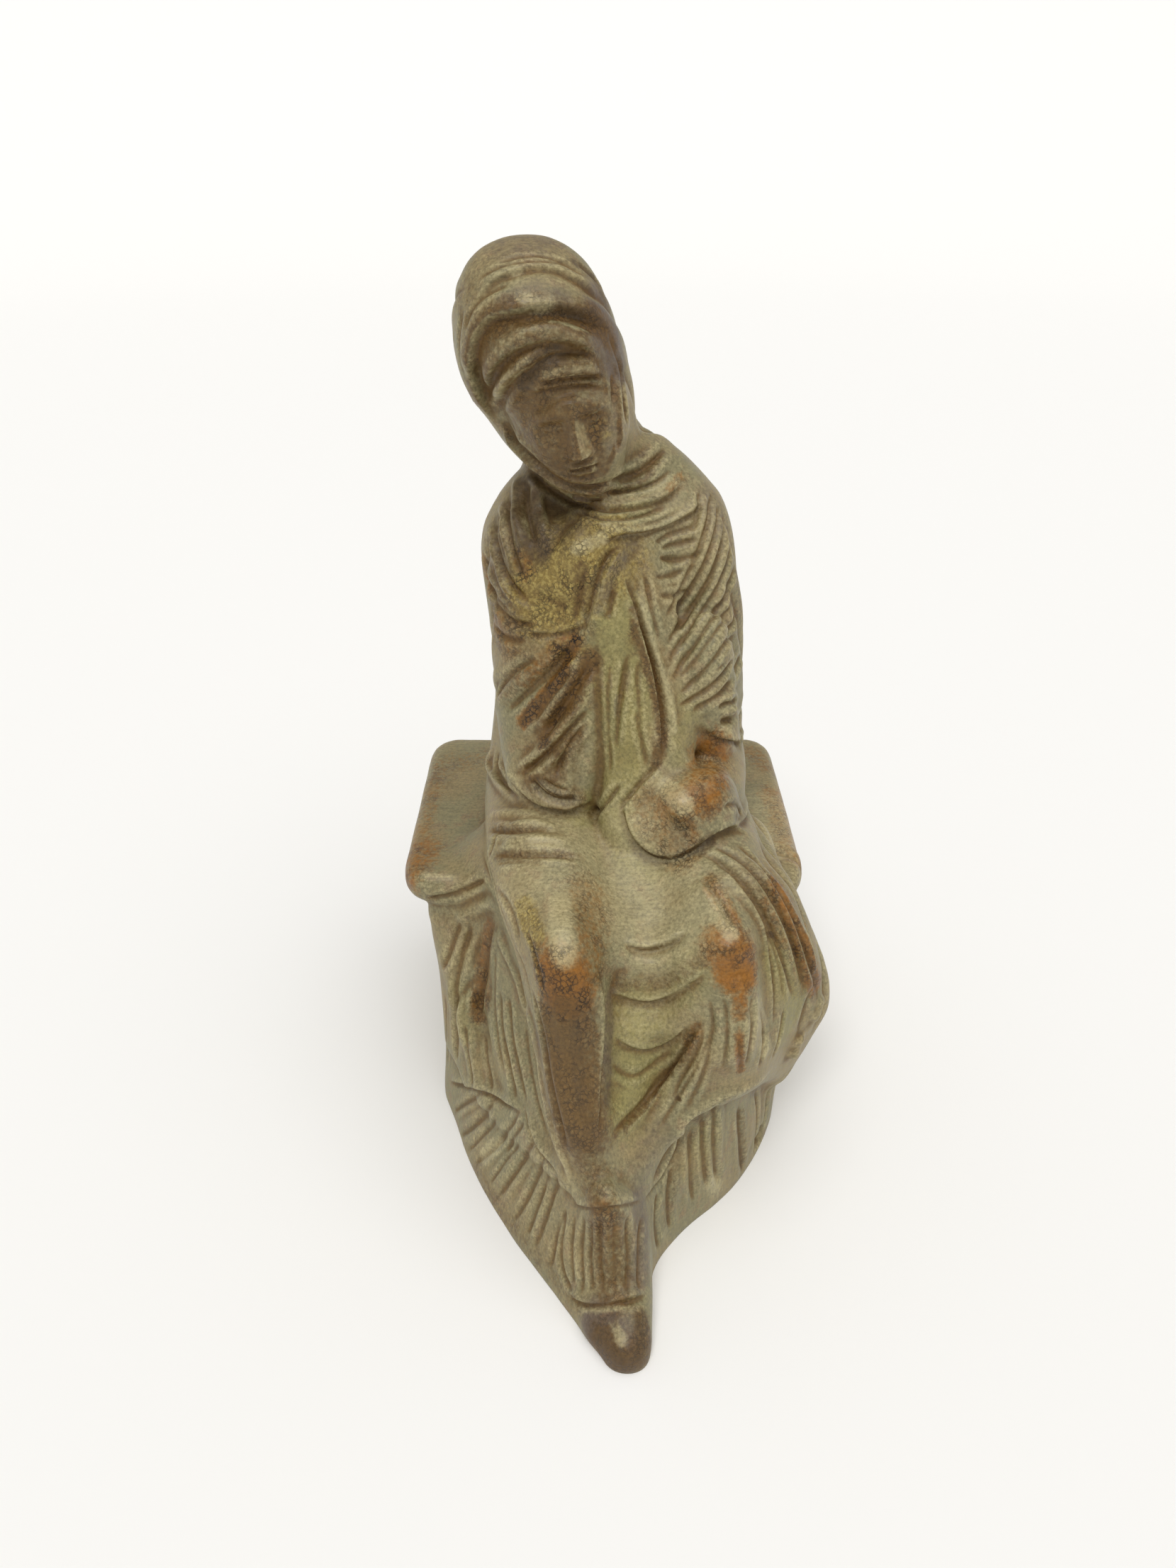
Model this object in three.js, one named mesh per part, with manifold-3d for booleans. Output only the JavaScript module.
// Seated draped woman in terracotta, modelled as one fired piece with her block seat.
// Millimetres, +Z up, she faces -Y. The origin is under the middle of the piece, at table height.

import * as THREE from 'three';
import { mergeVertices } from 'three/addons/utils/BufferGeometryUtils.js';
import Module from 'manifold-3d';

const wasm = await Module();
wasm.setup();

// Driving dimensions
const SEAT = { left: -67, right: 57, front: 6, back: 98, top: 87, lip: 11, inset: 9, corner: 8, edge: 4.2 };
const LIMB_SIDES = 16;
const FOLD_SIDES = 6;
const BODY_SHIFT = new THREE.Vector3(1.5, -0.65, 0);

// The eye that the folds are drawn from: in front of her and above, looking down
const EYE = new THREE.Vector3(-9.8, -272.4, 288);
const EYE_PITCH = THREE.MathUtils.degToRad(31);
const FOCAL_PX = 1600;
const CENTRE_PX = [829.5, 1106];

// Solids

function solidOf(geometry) {
  const bare = new THREE.BufferGeometry();
  bare.setAttribute('position', geometry.getAttribute('position').clone());
  if (geometry.index) bare.setIndex(geometry.index.clone());
  const merged = mergeVertices(bare, 1e-4);
  const make = (triVerts) => new wasm.Manifold(new wasm.Mesh({
    numProp: 3,
    vertProperties: new Float32Array(merged.attributes.position.array),
    triVerts,
  }));
  const triVerts = new Uint32Array(merged.index.array);
  const solid = make(triVerts);
  if (solid.volume() > 0) return solid;
  for (let i = 0; i < triVerts.length; i += 3) {
    [triVerts[i + 1], triVerts[i + 2]] = [triVerts[i + 2], triVerts[i + 1]];
  }
  return make(triVerts);
}

function geometryOf(solid) {
  const mesh = solid.getMesh();
  const geometry = new THREE.BufferGeometry();
  geometry.setAttribute('position', new THREE.BufferAttribute(new Float32Array(mesh.vertProperties), 3));
  geometry.setIndex(new THREE.BufferAttribute(new Uint32Array(mesh.triVerts), 1));
  return geometry;
}

const join = (solids) => solids.reduce((sum, solid) => sum.add(solid));

// A closed skin over rings that all have the same number of points
function skin(rings) {
  const sides = rings[0].length;
  const points = rings.flat();
  const faces = [];
  for (let r = 0; r + 1 < rings.length; r++) {
    for (let s = 0; s < sides; s++) {
      const a = r * sides + s;
      const b = r * sides + (s + 1) % sides;
      faces.push(a, b, b + sides, a, b + sides, a + sides);
    }
  }
  for (const [ring, first, turned] of [[rings[0], 0, true], [rings.at(-1), (rings.length - 1) * sides, false]]) {
    const middle = ring.reduce((sum, p) => sum.add(p), new THREE.Vector3()).divideScalar(sides);
    const hub = points.push(middle) - 1;
    for (let s = 0; s < sides; s++) {
      const a = first + s;
      const b = first + (s + 1) % sides;
      faces.push(...(turned ? [hub, b, a] : [hub, a, b]));
    }
  }
  const geometry = new THREE.BufferGeometry().setFromPoints(points);
  geometry.setIndex(faces);
  return geometry;
}

// Smooth values between the ones given at even steps
function eased(values, t) {
  const curve = new THREE.SplineCurve(values.map((v, i) => new THREE.Vector2(i, v)));
  return curve.getPoint(t).y;
}

// A rounded form along a curve: at each station [x, y, z, half width, half depth]
function limb(stations, { steps = 6, dome = 2, domeLength = 0.8 } = {}) {
  const curve = new THREE.CatmullRomCurve3(stations.map(([x, y, z]) => new THREE.Vector3(x, y, z)));
  const wides = stations.map((s) => s[3]);
  const deeps = stations.map((s) => s[4]);
  const rings = [];
  const ringAt = (t, push, shrink) => {
    const at = curve.getPoint(t);
    const along = curve.getTangent(t);
    const wideways = new THREE.Vector3(1, 0, 0);
    wideways.addScaledVector(along, -wideways.dot(along)).normalize();
    const deepways = new THREE.Vector3().crossVectors(along, wideways);
    const wide = eased(wides, t) * shrink;
    const deep = eased(deeps, t) * shrink;
    const end = t > 0.5 ? -1 : 0;
    at.addScaledVector(along, push * Math.min(wides.at(end), deeps.at(end)) * domeLength);
    rings.push(Array.from({ length: LIMB_SIDES }, (_, i) => {
      const turn = (i / LIMB_SIDES) * 2 * Math.PI;
      return at.clone()
        .addScaledVector(wideways, wide * Math.cos(turn))
        .addScaledVector(deepways, deep * Math.sin(turn));
    }));
  };
  const quarter = (i) => (i / (dome + 0.5)) * Math.PI / 2;
  for (let i = dome; i > 0; i--) ringAt(0, -Math.sin(quarter(i)), Math.cos(quarter(i)));
  for (let i = 0; i <= steps; i++) ringAt(i / steps, 0, 1);
  for (let i = 1; i <= dome; i++) ringAt(1, Math.sin(quarter(i)), Math.cos(quarter(i)));
  return solidOf(skin(rings));
}

// A form lofted through closed outlines of the same number of points [x, y, z]
function loft(outlines, { around, between }) {
  const rows = outlines.map((points) => {
    const corners = points.map(([x, y, z]) => new THREE.Vector3(x, y, z));
    return new THREE.CatmullRomCurve3(corners, true, 'centripetal').getPoints(around).slice(0, around);
  });
  const count = (rows.length - 1) * between;
  const rings = Array.from({ length: count + 1 }, () => []);
  for (let s = 0; s < around; s++) {
    const rise = new THREE.CatmullRomCurve3(rows.map((row) => row[s]), false, 'centripetal');
    rings.forEach((ring, i) => ring.push(rise.getPoint(i / count)));
  }
  return solidOf(skin(rings));
}

const level = (z, points) => points.map(([x, y]) => [x, y, z]);

// A level oval between four sides, the squarer the smaller its power
function oval([z, left, right, front, back], power = 1, corners = 16) {
  return Array.from({ length: corners }, (_, i) => {
    const turn = (i / corners) * 2 * Math.PI;
    const pull = (v) => Math.sign(v) * Math.abs(v) ** power;
    return [
      (left + right) / 2 + (right - left) / 2 * pull(Math.cos(turn)),
      (front + back) / 2 + (back - front) / 2 * pull(Math.sin(turn)),
      z,
    ];
  });
}

function roundedSlab({ left, right, front, back, low, high, corner, edge }) {
  const [x0, x1, y0, y1] = [left + edge, right - edge, front + edge, back - edge];
  const outline = new THREE.Shape();
  outline.moveTo(x0 + corner, y0);
  outline.lineTo(x1 - corner, y0).quadraticCurveTo(x1, y0, x1, y0 + corner);
  outline.lineTo(x1, y1 - corner).quadraticCurveTo(x1, y1, x1 - corner, y1);
  outline.lineTo(x0 + corner, y1).quadraticCurveTo(x0, y1, x0, y1 - corner);
  outline.lineTo(x0, y0 + corner).quadraticCurveTo(x0, y0, x0 + corner, y0);
  const slab = new THREE.ExtrudeGeometry(outline, {
    depth: high - low - 2 * edge,
    bevelSize: edge,
    bevelThickness: edge,
    bevelSegments: 3,
    curveSegments: 4,
  });
  return solidOf(slab.translate(0, 0, low + edge));
}

// The main masses

function seat() {
  const { left, right, front, back, top, lip, inset, corner, edge } = SEAT;
  const slab = roundedSlab({ left, right, front, back, low: top - lip, high: top, corner, edge });
  const block = roundedSlab({
    left: left + inset, right: right - inset, front: front + 3, back: back - inset / 2,
    low: -edge, high: top - lip / 2, corner, edge,
  });
  return join([slab, block]);
}

// The under dress, from the table up into the mantle
function underDress() {
  const floorLine = [
    [-46, 34], [-59, 9], [-53.5, -9], [-46.5, -28], [-33.5, -52], [-19.5, -72], [-9.5, -85], [0, -88],
    [7.5, -80], [8.5, -66], [17.5, -52.5], [34, -37], [45, -20.5], [52, -2], [50, 10], [46, 34],
  ];
  return loft([
    level(-4, floorLine),
    level(2, floorLine),
    level(15, [
      [-46, 34], [-58, 9], [-51, -8], [-43, -25], [-32, -45], [-20, -63], [-10, -76], [-1, -80],
      [6.5, -74], [9, -60], [18, -49.5], [33, -38], [44.5, -21], [52, -3], [50, 10], [46, 34],
    ]),
    level(32, [
      [-46, 34], [-57, 9], [-47, -5], [-38, -18], [-27, -36], [-18, -54], [-12, -65], [-4, -68],
      [4, -64], [9, -53], [18, -47], [32, -38], [44, -20], [51, -3], [50, 10], [46, 34],
    ]),
    level(50, [
      [-44, 34], [-54, 12], [-44, 0], [-34, -10], [-25, -27], [-18, -46], [-14, -56], [-7, -58],
      [0, -52], [8, -42], [19, -43], [31, -38], [43, -20], [50, -3], [50, 10], [44, 34],
    ]),
  ], { around: 48, between: 1 });
}

// The mantle over both legs, open below along its hem
function mantle() {
  return loft([
    [
      [-44, 34, 22], [-57.5, 9, 22], [-53, -7, 22], [-45, -22, 21], [-33, -39, 24], [-21, -57, 29],
      [-13, -68, 33], [-4, -71.5, 34], [6, -65, 29], [12, -54, 38], [20, -50, 45], [34, -42, 45],
      [46, -26, 36], [51.5, -11, 20], [46, 4, 24], [42, 34, 24],
    ],
    [
      [-44, 34, 50], [-58, 9, 52], [-50, -3, 50], [-40, -12, 48], [-29, -29, 48], [-21, -50, 50],
      [-17, -60.5, 51], [-8, -62.5, 52], [1, -56, 50], [10, -45, 50], [21, -48, 54], [34, -46, 57],
      [50, -27, 54], [64, -11, 54], [54, 2, 52], [42, 34, 52],
    ],
    [
      [-44, 34, 70], [-60, 10, 71], [-51, 3, 70], [-40, -3, 69], [-30, -19, 69], [-24, -42, 70],
      [-19, -53.5, 70], [-10, -54.5, 71], [0, -47, 70], [10, -41, 70], [21, -47, 71], [33, -48, 72],
      [47, -32, 71], [60, -12, 71], [54, 2, 70], [42, 34, 70],
    ],
    [
      [-42, 34, 86], [-58, 11, 81], [-50, 8, 83], [-42, 4, 86], [-33, -14, 88], [-27, -36, 89],
      [-21, -47, 90], [-11, -47.5, 90], [-1, -40, 88], [9, -36, 87], [20, -44, 89], [32, -44, 90],
      [43, -31, 89], [53, -13, 87], [50, 3, 85], [42, 34, 85],
    ],
    [
      [-40, 34, 93], [-43, 24, 93], [-42, 13, 94], [-38, 0, 96], [-32, -16, 99], [-26, -34, 100],
      [-20, -42, 100.5], [-12, -42, 100], [-2, -35, 96], [9, -31, 95], [20, -38, 99], [30, -39, 100],
      [40, -29, 99], [48, -13, 97], [46, 4, 96], [40, 34, 95],
    ],
    [
      [-24, 34, 100], [-30, 22, 101], [-32, 12, 102], [-30, 0, 104], [-26, -14, 105], [-22, -26, 104.5],
      [-18, -30, 104], [-12, -29, 103], [-2, -24, 99], [9, -20, 98], [20, -26, 103], [29, -27, 104],
      [35, -20, 104], [40, -8, 103], [38, 6, 102], [28, 34, 100],
    ],
  ], { around: 48, between: 2 });
}

function legs() {
  return join([
    limb([[-22, 44, 99, 21, 15], [-22, 20, 100, 20, 14.5], [-21, -8, 99, 17, 13], [-17, -30, 92, 13, 12]], { steps: 5 }),
    limb([[18, 44, 98, 20, 15], [21, 20, 100, 19, 14.5], [25, -8, 99, 16.5, 13.5], [27.5, -28, 92, 13, 12]], { steps: 5 }),
    limb([[0, 36, 101, 17, 12], [2, 10, 101, 16, 11], [5, -16, 92, 14, 9]], { steps: 4 }),
    limb([[-1, -58, 7, 9, 9], [0.5, -74, 6, 8, 9], [0.5, -91, 2.5, 7, 7.5]], { steps: 4 }),
  ]);
}

// The wrapped trunk, as level ovals: [z, left, right, front, back]
function trunk() {
  return loft([
    [84, -43, 40, 14, 72], [98, -43.5, 39.5, 16, 72.5], [112, -41, 38, 20, 72], [130, -38.7, 36.7, 22, 71],
    [148, -38.7, 35.6, 24, 70.5], [164, -40.2, 34, 25, 70], [176, -41.2, 32.5, 26, 69], [185, -39.8, 31, 27, 67.5],
    [192, -36, 28.5, 28, 65], [198, -31, 23.5, 30, 61], [204, -24, 17.5, 32, 57], [210, -18, 10, 36, 53],
  ].map((sides) => oval(sides, 0.85)), { around: 28, between: 1 });
}

function arms() {
  const rightUpper = [[-27, 42, 182, 12, 13], [-28, 34, 158, 10, 13], [-25, 24, 134, 12, 13], [-21, 15, 118, 13, 12]];
  const rightFore = [[-17, 12, 116, 13, 9], [-11, 15, 138, 12, 9], [-6, 20, 160, 11, 8], [-7, 25, 190, 9, 8]];
  const chest = [[-12, 32, 188, 20, 10], [-15, 27, 166, 21, 10], [-16, 22, 142, 18, 11], [-12, 16, 122, 13, 9]];
  const leftUpper = [[18, 44, 186, 12, 14], [24, 42, 160, 11, 15], [26, 38, 138, 11, 15], [25, 34, 122, 12, 14]];
  const leftFore = [[27, 34, 116, 12, 12], [25, 14, 114, 11.5, 11], [17, -4, 111, 10.5, 9]];
  const cascade = [[2, 30, 190, 8, 5], [5, 20, 160, 11, 7], [8, 11, 132, 14, 8.5], [5, 1, 108, 12, 9]];
  return join([rightUpper, rightFore, chest, leftUpper, leftFore, cascade].map((stations) => limb(stations)));
}

// The head under its hood, which falls into the back of the shoulders
function head() {
  const hood = loft([
    [203, -28, 5, 26, 60], [209, -33, 4, 24, 60], [215, -37, 3.5, 21.5, 61], [222, -41, 2.5, 18, 61],
    [229, -43.8, 1.2, 15.5, 61], [236, -45, -0.8, 14.5, 60.5], [243, -44.5, -3.8, 15.5, 59], [249, -43, -6.5, 18, 57],
    [254, -40.5, -10, 22, 53], [257.5, -36.5, -14.5, 27, 49], [260, -30, -20, 33, 43],
  ].map((sides) => oval(sides)), { around: 24, between: 1 });
  const veil = loft([
    [240, -42, -8, 38, 60], [227, -40, -1, 38, 64.5], [216, -36, 1, 40, 66.5], [205, -27, 9, 44, 67.5],
    [193, -31, 21, 44, 67], [178, -34, 25, 42, 64],
  ].map((sides) => oval(sides)), { around: 24, between: 1 });
  const face = limb([[-9.5, 29, 204, 10, 9], [-12.5, 27, 213, 15, 12], [-15.5, 27, 223, 15.5, 11]], { steps: 4 });
  return join([hood, veil, face]);
}

const solidFigure = join([seat(), underDress(), mantle(), legs(), trunk(), arms(), head()]);

// The larger folds, each drawn in the eye's picture and laid on the figure: width and rise in millimetres
const FOLDS = {
  hoodBand: { at: [[662, 480], [694, 425], [750, 396], [808, 404], [846, 450]], width: 9, rise: 1.6 },
  hoodRoll: { at: [[686, 556], [702, 492], [750, 456], [794, 454], [836, 482], [858, 530]], width: 7, rise: 2.2 },
  browRoll: { at: [[702, 604], [716, 536], [750, 506], [795, 498], [840, 514], [864, 560]], width: 6, rise: 2.2 },
  collarRoll: { at: [[742, 682], [785, 706], [835, 716], [885, 700], [930, 668], [948, 640]], width: 8, rise: 2.6 },
  collarLow: { at: [[800, 744], [860, 738], [920, 722], [968, 694]], width: 7.5, rise: 2 },
  shoulderFold: { at: [[708, 700], [718, 750], [752, 815]], width: 6, rise: 1.8 },
  armLoop: { at: [[688, 808], [708, 856], [764, 884]], width: 6, rise: 1.8 },
  armFoldA: { at: [[708, 985], [760, 925], [825, 890]], width: 6.5, rise: 2 },
  armFoldB: { at: [[724, 1045], [780, 990], [838, 935]], width: 6.5, rise: 2 },
  armFoldC: { at: [[738, 1090], [785, 1050], [842, 985]], width: 6.5, rise: 2 },
  elbowBag: { at: [[738, 1098], [768, 1128], [805, 1134], [842, 1105]], width: 8, rise: 2.4 },
  sleeveA: { at: [[1000, 735], [966, 800], [932, 868]], width: 6, rise: 2 },
  sleeveB: { at: [[1018, 800], [983, 862], [948, 925]], width: 6, rise: 2 },
  sleeveC: { at: [[1032, 868], [998, 925], [960, 985]], width: 6, rise: 2 },
  sleeveD: { at: [[1034, 940], [1002, 985], [964, 1030]], width: 6, rise: 2 },
  cascadeLeft: { at: [[874, 790], [868, 900], [858, 1010], [850, 1090]], width: 6, rise: 2.2 },
  cascadeRight: { at: [[896, 800], [926, 900], [950, 1000], [948, 1070]], width: 6, rise: 2.2 },
  handRoll: { at: [[880, 1120], [900, 1180], [938, 1205], [985, 1190]], width: 8, rise: 1.8 },
  thighFold: { at: [[700, 1165], [750, 1174], [802, 1165]], width: 6, rise: 1.6 },
  swagUpper: { at: [[848, 1352], [902, 1366], [956, 1350], [990, 1320]], width: 7, rise: 2.2 },
  swagLower: { at: [[850, 1440], [900, 1458], [955, 1440], [1000, 1400]], width: 7, rise: 2.2 },
  panelEdge: { at: [[1010, 1450], [975, 1510], [925, 1580], [885, 1620]], width: 6.5, rise: 2 },
  fallA: { at: [[992, 1200], [1060, 1255], [1102, 1350], [1112, 1440]], width: 7, rise: 2.3 },
  fallB: { at: [[1020, 1196], [1086, 1250], [1132, 1340], [1146, 1400]], width: 7, rise: 2.3 },
  curtainA: { at: [[614, 1310], [640, 1400], [668, 1500], [704, 1600]], width: 8, rise: 2.2 },
  curtainB: { at: [[650, 1310], [686, 1420], [718, 1530], [760, 1640]], width: 8, rise: 2.2 },
  pleatA: { at: [[1056, 1548], [1058, 1600], [1048, 1640]], width: 6, rise: 1.8 },
  pleatB: { at: [[1012, 1560], [1010, 1620], [998, 1672]], width: 6, rise: 1.8 },
  pleatC: { at: [[970, 1600], [962, 1660], [944, 1716]], width: 6, rise: 1.8 },
};

const figureMesh = new THREE.Mesh(geometryOf(solidFigure), new THREE.MeshBasicMaterial({ side: THREE.DoubleSide }));
const caster = new THREE.Raycaster();

// Where the line of sight through a picture point meets the figure
function seen([u, v]) {
  const toward = new THREE.Vector3((u - CENTRE_PX[0]) / FOCAL_PX, 1, (CENTRE_PX[1] - v) / FOCAL_PX);
  caster.set(EYE, toward.applyAxisAngle(new THREE.Vector3(1, 0, 0), -EYE_PITCH).normalize());
  return caster.intersectObject(figureMesh)[0];
}

// A fold's ridge: an oval bead that thins to both ends, sunk so that only its rise stands out
function ridge({ at, width, rise }) {
  const steps = 2 * at.length;
  const drawn = new THREE.SplineCurve(at.map(([u, v]) => new THREE.Vector2(u, v)));
  const hits = drawn.getPoints(steps).map(({ x, y }) => seen([x, y])).filter(Boolean);
  const path = hits.map((hit, i) => {
    const near = hits.slice(Math.max(0, i - 1), i + 2);
    return near.reduce((sum, { point }) => sum.add(point), new THREE.Vector3()).divideScalar(near.length);
  });
  const rings = path.map((point, i) => {
    const along = path[Math.min(i + 1, path.length - 1)].clone().sub(path[Math.max(i - 1, 0)]).normalize();
    const near = hits.slice(Math.max(0, i - 1), i + 2);
    const out = near.reduce((sum, { face }) => sum.add(face.normal), new THREE.Vector3());
    out.addScaledVector(along, -out.dot(along)).normalize();
    const across = new THREE.Vector3().crossVectors(along, out);
    const fullness = 0.3 + 0.7 * Math.max(0, Math.sin(Math.PI * (i / (path.length - 1)))) ** 0.6;
    const centre = point.clone().addScaledVector(out, -width * 0.25);
    const height = (rise + width * 0.25) * fullness;
    return Array.from({ length: FOLD_SIDES }, (_, s) => {
      const turn = (s / FOLD_SIDES) * 2 * Math.PI;
      return centre.clone()
        .addScaledVector(across, width / 2 * fullness * Math.cos(turn))
        .addScaledVector(out, height * Math.sin(turn));
    });
  });
  return solidOf(skin(rings));
}

const folds = Object.values(FOLDS).map(ridge);
const belowTable = solidOf(new THREE.BoxGeometry(400, 400, 60).translate(0, 0, -30));
const body = join([solidFigure, ...folds]).subtract(belowTable);

const terracotta = new THREE.MeshStandardMaterial({ color: 0x8f7f5c, roughness: 0.5, metalness: 0 });
const woman = new THREE.Mesh(geometryOf(body), terracotta);
woman.name = 'seated_woman';

const sculpture = new THREE.Group();
sculpture.add(woman);
sculpture.position.copy(BODY_SHIFT);

export default sculpture;
